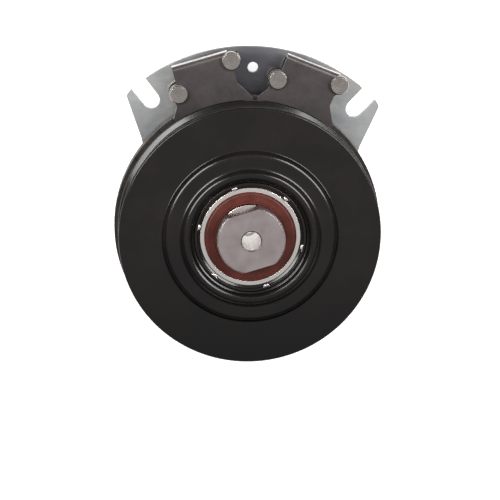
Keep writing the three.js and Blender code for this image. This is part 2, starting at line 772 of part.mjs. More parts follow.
const rivetHole = ({ x, y }) =>
  rod(RIVET_HOLE_R, PLATE_Z, POLE_Z + POLE_T + CUT, RIVET_SIDES).translate(x, y, 0);
const BACKING_Z = PLATE_Z + PLATE_T + CLEARANCE;
const MAGNET_Z = BACKING_Z + BACKING_T + CLEARANCE;
const MAGNET_TOP = POLE_Z - CLEARANCE;

function brakeRivet() {
  const head = POLE_Z + POLE_T + CLEARANCE;
  return turned(
    [
      [0, PLATE_Z - 2.2],
      [RIVET_TAIL_R - 0.6, PLATE_Z - 2.2],
      [RIVET_TAIL_R, PLATE_Z - 1.6],
      [RIVET_TAIL_R, PLATE_Z - CLEARANCE],
      [RIVET_SHANK_R, PLATE_Z - CLEARANCE],
      [RIVET_SHANK_R, head],
      [RIVET_HEAD_R, head],
      [RIVET_HEAD_R, head + 1.8],
      [RIVET_HEAD_R - 0.9, head + 2.6],
      [0, head + 2.6],
    ],
    RIVET_SIDES,
  );
}

brakeAngles.forEach((angle, i) => {
  const side = i === 0 ? "left" : "right";
  const group = turnedGroup(angle);
  const flange = block(
    -FLANGE_HALF_W,
    FLANGE_HALF_W,
    FLANGE_OUTER_Y - FLANGE_T,
    FLANGE_OUTER_Y,
    FLANGE_LOW,
    POLE_Z + POLE_T,
  );
  const pole = slab(poleOutline(FLANGE_OUTER_Y), POLE_Z, POLE_Z + POLE_T);
  add(
    `brake_pole_${side}`,
    cut(join(pole, flange), rivetHole(RIVET_A), rivetHole(RIVET_B)),
    MAT.oxide,
    group,
  );
  add(
    `brake_backing_${side}`,
    cut(
      slab(poleOutline(BACKING_OUTER_Y), BACKING_Z, BACKING_Z + BACKING_T),
      rod(BACKING_INNER_R, PLATE_Z, POLE_Z, WIDE_SIDES),
      rivetHole(RIVET_A),
      rivetHole(RIVET_B),
    ),
    MAT.oxide,
    group,
  );
  const magnet = block(-MAGNET.halfW, MAGNET.halfW, MAGNET.innerY, MAGNET.outerY, MAGNET_Z, MAGNET_TOP);
  add(`brake_magnet_${side}`, magnet, MAT.ferrite, group);
  [RIVET_A, RIVET_B].forEach((spot, j) => {
    const end = j === 0 ? "a" : "b";
    const sleeve = add(
      `brake_spacer_${side}_${end}`,
      ring(RIVET_HOLE_R, SPACER_R, MAGNET_Z, MAGNET_TOP, RIVET_SIDES),
      MAT.rivetSteel,
      group,
    );
    sleeve.position.set(spot.x, spot.y, 0);
    const rivet = add(`brake_rivet_${side}_${end}`, brakeRivet(), MAT.rivetSteel, group);
    rivet.position.set(spot.x, spot.y, 0);
  });
});

export default clutch;
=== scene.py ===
"""Electromagnetic clutch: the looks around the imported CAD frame.

Lengths are in millimetres, in the clutch's own frame: +Z is its axis, from the rear of the field shell to the
hub nose, and +Y points to the middle of the slotted mounting plate. Meshes become metres when they are made.
"""
import json
import math

import bmesh
import bpy
from mathutils import Matrix, Vector

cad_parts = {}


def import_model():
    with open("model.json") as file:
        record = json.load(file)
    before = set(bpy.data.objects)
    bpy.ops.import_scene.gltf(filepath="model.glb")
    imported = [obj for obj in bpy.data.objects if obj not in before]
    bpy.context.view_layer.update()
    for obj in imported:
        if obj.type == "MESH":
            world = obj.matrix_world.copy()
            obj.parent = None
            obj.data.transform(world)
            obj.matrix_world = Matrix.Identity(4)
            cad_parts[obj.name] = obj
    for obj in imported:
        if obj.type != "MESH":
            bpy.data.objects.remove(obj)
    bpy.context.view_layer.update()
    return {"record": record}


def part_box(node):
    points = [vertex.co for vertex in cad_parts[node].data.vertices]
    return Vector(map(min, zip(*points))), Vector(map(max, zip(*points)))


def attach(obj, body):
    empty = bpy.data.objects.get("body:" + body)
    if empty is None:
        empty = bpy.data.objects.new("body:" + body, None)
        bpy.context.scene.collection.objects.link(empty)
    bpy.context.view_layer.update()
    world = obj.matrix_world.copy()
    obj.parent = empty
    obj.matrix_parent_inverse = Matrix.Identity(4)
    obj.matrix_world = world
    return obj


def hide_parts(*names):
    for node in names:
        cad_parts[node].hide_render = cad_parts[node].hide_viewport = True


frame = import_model()

MM = 0.001
BODY_OF = {node: body for body, nodes in frame["record"]["behaviour"]["bodies"].items() for node in nodes}
SLOT_OF = {part["node"]: part["material_slot"] for part in frame["record"]["subparts"]}


def levels(node):
    """Lowest and highest Z of a CAD node, in millimetres."""
    low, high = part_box(node)
    return low.z / MM, high.z / MM


def reach(node):
    """Largest X of a CAD node, in millimetres: the radius of a turned one."""
    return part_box(node)[1].x / MM


# ---------------------------------------------------------------- camera

CAMERA_DISTANCE = 1.3
CAMERA_TILT = math.radians(15.85)
CAMERA_AZIMUTH = math.radians(107.5)
CAMERA_ROLL = math.radians(3.4)
CAMERA_LENS = 152.3
CAMERA_AIM = Vector((0.0002, -0.0081, 0.0577))


def add_camera():
    lean = Vector((
        math.sin(CAMERA_TILT) * math.cos(CAMERA_AZIMUTH),
        math.sin(CAMERA_TILT) * math.sin(CAMERA_AZIMUTH),
        math.cos(CAMERA_TILT),
    ))
    plate_up = Vector((0, 1, 0)) - lean.y * lean
    up = (Matrix.Rotation(CAMERA_ROLL, 3, lean) @ plate_up).normalized()
    right = up.cross(lean)
    data = bpy.data.cameras.new("camera")
    data.lens = CAMERA_LENS
    data.clip_end = 20
    camera = bpy.data.objects.new("camera", data)
    axes = Matrix((right, up, lean)).transposed()
    camera.matrix_world = Matrix.Translation(CAMERA_AIM + lean * CAMERA_DISTANCE) @ axes.to_4x4()
    bpy.context.scene.collection.objects.link(camera)
    bpy.context.scene.camera = camera


add_camera()

# ---------------------------------------------------------------- shader helpers


class Shader:
    """A material with a Principled shader, and short calls for the nodes that feed it."""

    def __init__(self, name, colour, roughness, metallic=0.0, **inputs):
        self.material = bpy.data.materials.new(name)
        self.material.use_nodes = True
        self.nodes = self.material.node_tree.nodes
        self.links = self.material.node_tree.links
        self.principled = self.nodes["Principled BSDF"]
        self.set("Base Color", (*colour, 1.0))
        self.set("Roughness", roughness)
        self.set("Metallic", metallic)
        for key, value in inputs.items():
            self.set(key.replace("_", " "), value)
        self.coordinates = self.nodes.new("ShaderNodeTexCoord")

    def set(self, socket, value):
        self.principled.inputs[socket].default_value = value

    def feed(self, socket, value):
        self.links.new(value, self.principled.inputs[socket])

    def join(self, node, **values):
        """Sets a node's inputs, from a value or from another node's output."""
        for key, value in values.items():
            socket = node.inputs[int(key[1:])] if key[0] == "i" and key[1:].isdigit() else node.inputs[key]
            if isinstance(value, bpy.types.NodeSocket):
                self.links.new(value, socket)
            else:
                socket.default_value = value
        return node

    def millimetres(self, scale=(1, 1, 1)):
        """Object coordinates in millimetres, stretched by scale."""
        node = self.nodes.new("ShaderNodeMapping")
        self.join(node, Vector=self.coordinates.outputs["Object"], Scale=[s / MM for s in scale])
        return node.outputs[0]

    def direction(self, stretch=(1, 1, 0)):
        """Unit direction from the clutch axis: the same all along a radius."""
        flat = self.math("MULTIPLY", self.coordinates.outputs["Object"], stretch, vector=True)
        return self.math("NORMALIZE", flat, vector=True)

    def own_radius(self):
        """Distance from the piece's own middle in XY, 1 at its rim."""
        centred = self.math("SUBTRACT", self.coordinates.outputs["Generated"], (0.5, 0.5, 0.5), vector=True)
        flat = self.math("MULTIPLY", centred, (2, 2, 0), vector=True)
        return self.math("LENGTH", flat, vector=True)

    def math(self, operation, first, second=None, vector=False):
        node = self.nodes.new("ShaderNodeVectorMath" if vector else "ShaderNodeMath")
        node.operation = operation
        self.join(node, i0=first)
        if second is not None:
            self.join(node, i1=second)
        return node.outputs["Value" if operation == "LENGTH" else 0]

    def noise(self, vector, scale, detail=2.0, roughness=0.5):
        node = self.nodes.new("ShaderNodeTexNoise")
        self.join(node, Vector=vector, Scale=scale, Detail=detail, Roughness=roughness)
        return node.outputs["Fac"]

    def remap(self, value, low, high, start=0.0, end=1.0):
        node = self.nodes.new("ShaderNodeMapRange")
        self.join(node, i0=value, i1=low, i2=high, i3=start, i4=end)
        return node.outputs[0]

    def mix(self, factor, first, second):
        node = self.nodes.new("ShaderNodeMix")
        node.data_type = "RGBA"
        colours = [c if isinstance(c, bpy.types.NodeSocket) else (*c, 1.0) for c in (first, second)]
        self.join(node, i0=factor, i6=colours[0], i7=colours[1])
        return node.outputs[2]

    def bump(self, height, distance, strength=1.0, normal=None):
        node = self.nodes.new("ShaderNodeBump")
        self.join(node, Height=height, Distance=distance * MM, Strength=strength)
        if normal is not None:
            self.join(node, Normal=normal)
        return node.outputs[0]


# ---------------------------------------------------------------- materials


def black_coat():
    s = Shader(
        "black_coat", (0.006, 0.006, 0.006), 0.34,
        Coat_Weight=0.4, Coat_Roughness=0.17, Specular_IOR_Level=0.05,
    )
    spot = s.millimetres()
    cloud = s.noise(spot, 0.045, detail=3.0)
    peel = s.noise(spot, 0.9, detail=2.0)
    # Painted shade: the base colour darkens towards -Y, so the lower side of the pulley reads darker.
    axes = s.nodes.new("ShaderNodeSeparateXYZ")
    s.join(axes, i0=spot)
    tone = s.mix(s.remap(axes.outputs["Y"], -80, 0), (0.0006, 0.0006, 0.0006), (0.006, 0.005, 0.0044))
    s.feed("Base Color", s.mix(s.remap(cloud, 0.35, 0.65, 0, 0.5), tone, (0.0016, 0.0014, 0.0018)))
    s.feed("Roughness", s.remap(s.noise(spot, 0.25, detail=4.0), 0.3, 0.7, 0.27, 0.38))
    s.feed("Normal", s.bump(peel, 0.012))
    return s.material


# Where the painted shade sits on the zinc plate, and over what distance it fades out.
PAINTED_SHADE_SPOT = (0, 92, 18.5)
PAINTED_SHADE_REACH = (14, 52)


def zinc_plate():
    """Zinc with painted shade: near black in the gap between the brakes, fading back to zinc out towards the
    ears.
    """
    s = Shader("zinc_plate", (0.4, 0.41, 0.41), 0.4, 1.0)
    spot = s.millimetres()
    patches = s.noise(spot, 0.032, detail=4.0, roughness=0.6)
    smears = s.noise(s.millimetres((0.35, 1.6, 1)), 0.06, detail=5.0, roughness=0.65)
    grain = s.noise(s.millimetres((0.4, 6, 1)), 1.1, detail=2.0)
    blue_green = s.mix(s.remap(patches, 0.38, 0.62), (0.25, 0.258, 0.272), (0.36, 0.37, 0.355))
    tone = s.mix(s.remap(smears, 0.45, 0.75, 0, 0.7), blue_green, (0.46, 0.46, 0.45))
    # Painted shade: the base colour goes near black round the gap between the brakes, where the plate lies in
    # shadow.
    away = s.math("LENGTH", s.math("SUBTRACT", spot, PAINTED_SHADE_SPOT, vector=True), vector=True)
    s.feed("Base Color", s.mix(s.remap(away, *PAINTED_SHADE_REACH), (0.075, 0.074, 0.082), tone))
    s.feed("Roughness", s.remap(smears, 0.3, 0.7, 0.5, 0.34))
    s.feed("Normal", s.bump(grain, 0.008, 0.6, s.bump(patches, 0.3)))
    return s.material


def brake_steel():
    s = Shader("brake_steel", (0.1, 0.09, 0.088), 0.42, 0.8)
    spot = s.millimetres()
    cloud = s.noise(spot, 0.05, detail=4.0)
    rolling = s.noise(s.millimetres((0.3, 3, 1)), 0.8, detail=3.0)
    s.feed("Base Color", s.mix(s.remap(cloud, 0.3, 0.72), (0.042, 0.0365, 0.036), (0.066, 0.058, 0.056)))
    s.feed("Roughness", s.remap(s.noise(spot, 0.35, detail=5.0), 0.3, 0.7, 0.4, 0.48))
    s.feed("Normal", s.bump(rolling, 0.01, 0.7))
    return s.material


def sheared_edge():
    s = Shader("sheared_edge", (0.5, 0.47, 0.45), 0.35, 1.0)
    streaks = s.noise(s.millimetres((1, 1, 0.15)), 1.6, detail=3.0)
    s.feed("Base Color", s.mix(s.remap(streaks, 0.35, 0.65), (0.27, 0.25, 0.24), (0.46, 0.43, 0.415)))
    s.feed("Roughness", s.remap(streaks, 0.3, 0.7, 0.28, 0.45))
    s.feed("Normal", s.bump(streaks, 0.05))
    return s.material


def turned_metal(name, colour, dark, roughness, marks_per_mm, mark_depth=0.006):
    s = Shader(name, colour, roughness, 1.0)
    spot = s.millimetres()
    marks = s.noise(s.own_radius(), marks_per_mm, detail=3.0, roughness=0.7)
    cloud = s.noise(spot, 0.4, detail=4.0)
    s.feed("Base Color", s.mix(s.remap(cloud, 0.35, 0.7, 0, 0.4), colour, dark))
    s.feed("Roughness", s.remap(marks, 0.3, 0.7, roughness - 0.04, roughness + 0.06))
    s.feed("Normal", s.bump(marks, mark_depth))
    return s.material


def hub_steel():
    s = Shader("hub_steel", (0.32, 0.29, 0.29), 0.36, 1.0)
    spot = s.millimetres()
    cloud = s.noise(spot, 0.1, detail=3.0)
    pores = s.noise(spot, 2.6, detail=3.0, roughness=0.7)
    tone = s.mix(s.remap(cloud, 0.3, 0.7), (0.3, 0.262, 0.258), (0.335, 0.298, 0.298))
    s.feed("Base Color", s.mix(s.remap(pores, 0.62, 0.76, 0, 0.3), tone, (0.26, 0.24, 0.24)))
    s.feed("Roughness", s.remap(cloud, 0.3, 0.7, 0.32, 0.4))
    s.feed("Normal", s.bump(pores, 0.006))
    return s.material


def rotor_steel():
    s = Shader("rotor_steel", (0.09, 0.078, 0.068), 0.5, 0.75)
    spot = s.millimetres()
    striations = s.noise(s.direction(), 95, detail=3.0, roughness=0.7)
    cloud = s.noise(spot, 0.07, detail=4.0)
    tone = s.mix(s.remap(cloud, 0.35, 0.65), (0.018, 0.016, 0.013), (0.034, 0.028, 0.025))
    s.feed("Base Color", s.mix(s.remap(striations, 0.45, 0.75, 0, 0.5), tone, (0.07, 0.061, 0.054)))
    s.feed("Roughness", s.remap(striations, 0.3, 0.7, 0.42, 0.58))
    s.feed("Normal", s.bump(striations, 0.03))
    return s.material


def seal_rubber():
    s = Shader("seal_rubber", (0.07, 0.012, 0.007), 0.5, Specular_IOR_Level=0.25)
    spot = s.millimetres()
    cloud = s.noise(spot, 0.12, detail=3.0)
    grain = s.noise(spot, 4.5, detail=2.0)
    s.feed("Base Color", s.mix(s.remap(cloud, 0.35, 0.65), (0.034, 0.004, 0.002), (0.052, 0.008, 0.004)))
    s.feed("Roughness", s.remap(grain, 0.3, 0.7, 0.42, 0.56))
    s.feed("Normal", s.bump(grain, 0.015))
    return s.material


def grained(name, dark, light, roughness, metallic, grain_per_mm, depth):
    """A plain moulded, cast or rolled surface: two tones, fine grain."""
    s = Shader(name, light, roughness, metallic)
    spot = s.millimetres()
    grain = s.noise(spot, grain_per_mm, detail=3.0)
    s.feed("Base Color", s.mix(s.remap(s.noise(spot, 0.15, detail=3.0), 0.35, 0.65), dark, light))
    s.feed("Roughness", s.remap(grain, 0.3, 0.7, roughness - 0.06, roughness + 0.06))
    s.feed("Normal", s.bump(grain, depth))
    return s.material


GRAINED = {
    "spring_steel": ((0.25, 0.26, 0.28), (0.36, 0.36, 0.37), 0.34, 1.0, 1.5, 0.008),
    "ferrite": ((0.045, 0.044, 0.046), (0.075, 0.073, 0.075), 0.62, 0.15, 3.0, 0.03),
    "copper_wire": ((0.42, 0.15, 0.06), (0.6, 0.25, 0.12), 0.32, 0.9, 1.0, 0.01),
    "bobbin_plastic": ((0.58, 0.54, 0.44), (0.68, 0.64, 0.54), 0.5, 0.0, 2.0, 0.01),
    "connector_plastic": ((0.014, 0.014, 0.015), (0.024, 0.023, 0.023), 0.42, 0.0, 2.5, 0.02),
    "potting_resin": ((0.035, 0.03, 0.026), (0.065, 0.055, 0.046), 0.35, 0.0, 0.6, 0.04),
    "lead_insulation": ((0.02, 0.02, 0.02), (0.034, 0.033, 0.032), 0.45, 0.0, 3.0, 0.01),
    "contact_brass": ((0.62, 0.44, 0.2), (0.76, 0.58, 0.3), 0.28, 1.0, 1.5, 0.01),
}
MATERIALS = {
    "black_coat": black_coat(),
    "zinc_plate": zinc_plate(),
    "brake_steel": brake_steel(),
    "bearing_steel": turned_metal("bearing_steel", (0.6, 0.565, 0.54), (0.52, 0.49, 0.47), 0.3, 60, 0.003),
    "seal_rubber": seal_rubber(),
    "hub_steel": hub_steel(),
    "rotor_steel": rotor_steel(),
    "rivet_steel": turned_metal("rivet_steel", (0.3, 0.275, 0.262), (0.19, 0.168, 0.158), 0.26, 9, 0.02),
    **{name: grained(name, *look) for name, look in GRAINED.items()},
}
SHEARED = sheared_edge()
# Painted light: the bolt hole's wall is near-white cream, standing in for the bright glow seen in the hole.
BORE_PAINTED_LIGHT = grained("bore_painted_light", (0.78, 0.73, 0.66), (0.9, 0.86, 0.8), 0.2, 1.0, 1.2, 0.004)

# ---------------------------------------------------------------- shape helpers

SHARP_ANGLE = math.radians(32)
WIDE = 192
NARROW = 96


def rounded(corners, step=12):
    """Closed outline of (x, y) or (x, y, radius) corners, each radius made into an arc."""
    outline = []
    count = len(corners)
    for i, corner in enumerate(corners):
        here = Vector(corner[:2])
        back = Vector(corners[i - 1][:2]) - here
        ahead = Vector(corners[(i + 1) % count][:2]) - here
        half = back.angle(ahead) / 2
        if len(corner) < 3 or half > math.radians(89.5):
            outline.append(here)
            continue
        room = 0.48 * min(back.length, ahead.length)
        run = min(corner[2] / math.tan(half), room)
        radius = run * math.tan(half)
        centre = here + (back.normalized() + ahead.normalized()).normalized() * (radius / math.sin(half))
        spoke = here + back.normalized() * run - centre
        sweep = -spoke.angle_signed(here + ahead.normalized() * run - centre)
        steps = max(2, math.ceil(abs(math.degrees(sweep)) / step))
        outline += [centre + Matrix.Rotation(sweep * k / steps, 2) @ spoke for k in range(steps + 1)]
    return outline


def arc(radius, start, end, steps, centre=(0, 0)):
    """Points on an arc, in degrees from +X."""
    angles = [math.radians(start + (end - start) * k / steps) for k in range(steps + 1)]
    return [Vector((centre[0] + radius * math.cos(a), centre[1] + radius * math.sin(a))) for a in angles]


def circle(radius, centre=(0, 0), steps=48):
    return arc(radius, 0, 360 * (steps - 1) / steps, steps - 1, centre)


def polar(radius, degrees):
    return Vector((radius * math.cos(math.radians(degrees)), radius * math.sin(math.radians(degrees))))


def shade(mesh):
    mesh.polygons.foreach_set("use_smooth", [True] * len(mesh.polygons))
    mesh.set_sharp_from_angle(angle=SHARP_ANGLE)


def evaluated_mesh(source):
    """A new mesh of an object as its modifiers, or its curve, make it."""
    return bpy.data.meshes.new_from_object(source.evaluated_get(bpy.context.evaluated_depsgraph_get()))


def to_object(name, bm):
    """Closes off a bmesh in millimetres as an object in metres."""
    bmesh.ops.remove_doubles(bm, verts=bm.verts, dist=1e-4)
    bmesh.ops.recalc_face_normals(bm, faces=bm.faces)
    bmesh.ops.scale(bm, vec=(MM, MM, MM), verts=bm.verts)
    mesh = bpy.data.meshes.new(name)
    bm.to_mesh(mesh)
    bm.free()
    shade(mesh)
    made = bpy.data.objects.new(name, mesh)
    bpy.context.scene.collection.objects.link(made)
    return made


def spin_into(bm, profile, sides, centre=(0, 0)):
    """Adds a solid turned about a line parallel to Z, from (radius, height[, fillet]) corners."""
    rings = []
    for radius, height in rounded(profile):
        if radius < 1e-6:
            rings.append([bm.verts.new((centre[0], centre[1], height))] * sides)
            continue
        spots = [polar(radius, 360 * k / sides) for k in range(sides)]
        rings.append([bm.verts.new((centre[0] + p.x, centre[1] + p.y, height)) for p in spots])
    for ring, following in zip(rings, rings[1:] + rings[:1]):
        for k in range(sides):
            ahead = (k + 1) % sides
            corners = [ring[k], ring[ahead], following[ahead], following[k]]
            unique = list(dict.fromkeys(corners))
            if len(unique) > 2:
                bm.faces.new(unique)


def turned(name, profile, sides=WIDE, centre=(0, 0)):
    bm = bmesh.new()
    spin_into(bm, profile, sides, centre)
    return to_object(name, bm)


def prism_into(bm, near, far):
    """Adds a solid between two outlines that have the same number of points."""
    first = [bm.verts.new(p) for p in near]
    last = [bm.verts.new(p) for p in far]
    bm.faces.new(first)
    bm.faces.new(last[::-1])
    for i in range(len(first)):
        j = (i + 1) % len(first)
        bm.faces.new([first[i], last[i], last[j], first[j]])


def pin(name, radius, low, high, sides, centre=(0, 0)):
    """A plain round bar, for drilling."""
    return turned(name, [(0, low), (radius, low), (radius, high), (0, high)], sides, centre)


def flat_piece(name, outline, holes, low, high, edge=0.25):
    """Sheet metal in the XY plane with its edges broken by a small radius."""
    curve = bpy.data.curves.new(name, "CURVE")
    curve.dimensions = "2D"
    curve.fill_mode = "BOTH"
    curve.extrude = (high - low) / 2 - edge
    curve.bevel_depth = edge
    curve.bevel_resolution = 1
    curve.offset = -edge
    for loop, way in [(outline, 1), *((hole, -1) for hole in holes)]:
        area = sum(a.x * b.y - a.y * b.x for a, b in zip(loop, loop[1:] + loop[:1]))
        ordered = loop if area * way > 0 else loop[::-1]
        spline = curve.splines.new("POLY")
        spline.points.add(len(ordered) - 1)
        spline.use_cyclic_u = True
        for point, spot in zip(spline.points, ordered):
            point.co = (spot.x, spot.y, 0, 1)
    drawn = bpy.data.objects.new(name + "_outline", curve)
    bpy.context.scene.collection.objects.link(drawn)
    bm = bmesh.new()
    bm.from_mesh(evaluated_mesh(drawn))
    bpy.data.objects.remove(drawn)
    bmesh.ops.translate(bm, vec=(0, 0, (low + high) / 2), verts=bm.verts)
    return to_object(name, bm)


def block_into(bm, x, y, z, edge=0.3, segments=2):
    """Adds a box with rounded edges, from (low, high) pairs."""
    made = bmesh.ops.create_cube(bm, size=1)["verts"]
    bmesh.ops.scale(bm, vec=(x[1] - x[0], y[1] - y[0], z[1] - z[0]), verts=made)
    bmesh.ops.translate(bm, vec=(sum(x) / 2, sum(y) / 2, sum(z) / 2), verts=made)
    if edge:
        edges = list({e for v in made for e in v.link_edges})
        bmesh.ops.bevel(bm, geom=edges, offset=edge, segments=segments, profile=0.5, affect="EDGES")


def block(name, x, y, z, edge=0.3):
    bm = bmesh.new()
    block_into(bm, x, y, z, edge)
    return to_object(name, bm)


def boolean(piece, tool, operation="DIFFERENCE"):
    """Cuts the tool out of the piece, or joins it, and removes the tool."""
    step = piece.modifiers.new("boolean", "BOOLEAN")
    step.operation = operation
    step.solver = "EXACT"
    step.object = tool
    result = evaluated_mesh(piece)
    piece.modifiers.clear()
    piece.data = result
    bpy.data.objects.remove(tool)
    shade(result)
    return piece


def merged(piece, other):
    """Adds the other's faces to the piece as they are, uncut, and removes the other."""
    bm = bmesh.new()
    bm.from_mesh(piece.data)
    bm.from_mesh(other.data)
    bm.to_mesh(piece.data)
    bm.free()
    bpy.data.objects.remove(other)
    shade(piece.data)
    return piece


def turn(piece, degrees):
    """Turns a piece's mesh about the clutch axis."""
    piece.data.transform(Matrix.Rotation(math.radians(degrees), 4, "Z"))
    return piece


def place(piece, node, second=None, pick=None):
    """Gives a piece its materials, body and slot, and lets it stand for its CAD node.

    pick(centre, normal) says which faces take the second material."""
    mesh = piece.data
    mesh.materials.clear()
    mesh.materials.append(MATERIALS[SLOT_OF[node]])
    if second is not None:
        mesh.materials.append(second)
        for face in mesh.polygons:
            face.material_index = int(pick(face.center / MM, face.normal))
    level = piece.modifiers.new("weighted_normals", "WEIGHTED_NORMAL")
    level.keep_sharp = True
    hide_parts(node)
    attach(piece, BODY_OF[node])
    return piece


# ---------------------------------------------------------------- pulley

PULLEY_R = reach("pulley_front_half")
PULLEY_FRONT = levels("pulley_front_half")[1] - 5
SPLIT = (levels("pulley_front_half")[0] + levels("pulley_rear_half")[1]) / 2
REAR_RIM = levels("pulley_rear_half")[0]
GROOVE_R = 62
DRUM_R = 59
GROOVE_SLOPE = math.tan(math.radians(17))
LIP_T = 3.2
HUB_R = 34.5


def front_cone(radius):
    return PULLEY_FRONT - LIP_T - (PULLEY_R - radius) * GROOVE_SLOPE


def rear_cone(radius):
    return REAR_RIM + 2.2 + (PULLEY_R - radius) * GROOVE_SLOPE


def pulley():
    z = PULLEY_FRONT
    front = [
        (HUB_R + 0.3, z + 1.2, 0.5), (36, z + 1.7, 1), (37, z + 4.4, 1), (38.4, z + 5, 1.4),
        (40.7, z + 4.9, 3.5), (43.7, z + 2.2, 3), (51.8, z + 3, 4), (54.4, z, 1.2),
        (80.1, z, 1), (PULLEY_R, z - 1, 0.7),
        (PULLEY_R - 0.3, front_cone(PULLEY_R - 0.3), 0.6), (GROOVE_R, front_cone(GROOVE_R), 2.5),
        (GROOVE_R, SPLIT + 0.15, 0.4), (DRUM_R, SPLIT + 0.15), (DRUM_R, z - 5.2, 2), (54, z - 3, 2),
        (48.4, z - 0.8, 3), (41.8, z - 0.4, 2), (38.6, z + 1.8, 1), (HUB_R + 0.3, z - 1.6),
    ]
    place(turned("pulley_front_pressing", front), "pulley_front_half")
    web_back = levels("leaf_spring_1")[1] + 0.2
    web_front = web_back + 2.5
    rear = [
        (DRUM_R, SPLIT - 0.15), (GROOVE_R, SPLIT - 0.15, 0.4), (GROOVE_R, rear_cone(GROOVE_R), 2.5),
        (PULLEY_R - 2.9, rear_cone(PULLEY_R - 2.9), 1.2), (PULLEY_R - 0.4, REAR_RIM + 1.7, 0.6),
        (PULLEY_R, REAR_RIM + 1, 0.3),
        (PULLEY_R - 0.2, REAR_RIM + 0.5, 0.4), (PULLEY_R - 0.9, REAR_RIM, 0.3), (PULLEY_R - 2.6, REAR_RIM, 1),
        (GROOVE_R + 4, web_front, 2), (GROOVE_R + 0.5, web_back, 1.5), (HUB_R + 1.6, web_back, 0.4),
        (HUB_R + 1.6, web_front, 0.4), (DRUM_R, web_front, 1.5),
    ]
    place(turned("pulley_rear_pressing", rear), "pulley_rear_half")


STAKES = 6
STAKE_R = 32.2
STAKE_START = 51
STAKE_STRETCH = 1.75


def pulley_hub():
    low, high = levels("pulley_hub")
    seat = 31.1
    bearing_low = levels("pulley_bearing_outer_race")[0]
    bm = bmesh.new()
    profile = [
        (seat, high - 1.2), (seat + 1.2, high - 0.6, 0.3), (seat + 1.8, high, 0.3), (HUB_R, high, 0.5),
        (HUB_R, low + 2.8, 1.2), (50, low + 2.8, 0.5), (50, low, 0.5), (seat - 2.5, low, 0.4),
        (seat - 2.5, bearing_low - 0.2, 0.3), (seat, bearing_low - 0.2),
    ]
    spin_into(bm, profile, WIDE)
    stake = [
        (0, high - 2), (1.05, high - 2), (1.05, high - 0.1, 0.4), (0.7, high + 0.35, 0.3), (0, high + 0.4),
    ]
    for k in range(STAKES):
        angle = STAKE_START + 360 * k / STAKES
        spot = polar(STAKE_R, angle)
        before = set(bm.verts)
        spin_into(bm, stake, 20)
        along = Matrix.Rotation(math.radians(angle), 4, "Z")
        for v in [v for v in bm.verts if v not in before]:
            v.co = along @ Vector((v.co.x, v.co.y * STAKE_STRETCH, v.co.z)) + Vector((spot.x, spot.y, 0))
    made = to_object("pulley_bearing_carrier", bm)

    def on_stake(centre, normal):
        ring = math.degrees(math.atan2(centre.y, centre.x)) - STAKE_START
        pitch = 360 / STAKES
        offset = math.radians((ring + pitch / 2) % pitch - pitch / 2) * STAKE_R
        return abs(offset) < 1.95 and abs(centre.xy.length - STAKE_R) < 1.15 and centre.z > high - 0.3

    place(made, "pulley_hub", MATERIALS["bearing_steel"], on_stake)


pulley()
pulley_hub()

# ---------------------------------------------------------------- bearings

BEARINGS = {
    "pulley_bearing": {"bore_r": 15.05, "ball_r": 4.6, "balls": 9},
    "field_bearing": {"bore_r": 17.55, "ball_r": 3.8, "balls": 11},
}
SEAL_RECESS = 2.4
CAGE_HALF = (0.8, 1.6)


def bearing(prefix, bore_r, ball_r, balls):
    low, high = levels(prefix + "_outer_race")
    outer = reach(prefix + "_outer_race")
    pitch = (bore_r + outer) / 2
    middle = (low + high) / 2
    inner_wall = pitch - 0.6 * ball_r
    outer_wall = pitch + 0.7 * ball_r
    recess = outer - 2.7
    groove = arc(ball_r + 0.12, 40, -40, 8, (pitch, middle))
    outer_race = [
        (outer, low, 0.9), (outer, high, 0.35), (recess, high, 0.2), (recess, high - SEAL_RECESS),
        (outer_wall, high - SEAL_RECESS), *groove, (outer_wall, low + SEAL_RECESS),
        (recess, low + SEAL_RECESS), (recess, low, 0.3),
    ]
    place(turned(prefix + "_outer_ring", outer_race, NARROW), prefix + "_outer_race")
    back = [Vector((2 * pitch - p.x, p.y)) for p in groove[::-1]]
    inner_race = [
        (bore_r, low, 0.8), (inner_wall, low, 0.3), *back, (inner_wall, high, 0.3), (bore_r, high, 0.8),
    ]
    place(turned(prefix + "_inner_ring", inner_race, NARROW), prefix + "_inner_race")
    a = inner_wall + 0.35
    b = recess - 0.15
    for end, face, way in (("front", high, 1), ("rear", low, -1)):
        seal = [
            (a, face - 2.1 * way), (a, face - 0.9 * way, 0.2), (a + 0.5, face - 0.6 * way, 0.2),
            (a + 1.5, face - 0.6 * way, 0.3), (a + 1.9, face - 0.4 * way, 0.3),
            (b - 1.5, face - 0.4 * way, 0.3), (b - 1.1, face - 0.62 * way, 0.2),
            (b, face - 0.62 * way, 0.3), (b, face - 2.1 * way),
        ]
        place(turned(f"{prefix}_{end}_shield", seal, NARROW), f"{prefix}_{end}_seal")
    bm = bmesh.new()
    wide, tall = CAGE_HALF
    cage = [
        (pitch - wide, middle - tall), (pitch + wide, middle - tall),
        (pitch + wide, middle + tall), (pitch - wide, middle + tall),
    ]
    spin_into(bm, cage, NARROW)
    for k in range(balls):
        spot = polar(pitch, 360 * k / balls)
        at = Matrix.Translation((spot.x, spot.y, middle))
        bmesh.ops.create_uvsphere(bm, u_segments=24, v_segments=16, radius=ball_r, matrix=at)
    place(to_object(prefix + "_balls_in_cage", bm), prefix + "_ball_cage")


for bearing_name, sizes in BEARINGS.items():
    bearing(bearing_name, **sizes)

# ---------------------------------------------------------------- rotor, hub and nose

NOSE_R = 21
NOSE_FLAT = 18
FLAT_ANGLE = 19.5
BOLT_HOLE_R = 5.85
CRANK_R = 12.7
KEY = (6.35, 2.8)
JOURNAL_R = 17.5
RING_GROOVE = (1.7, 2.9)
RING_GROOVE_R = 16.4


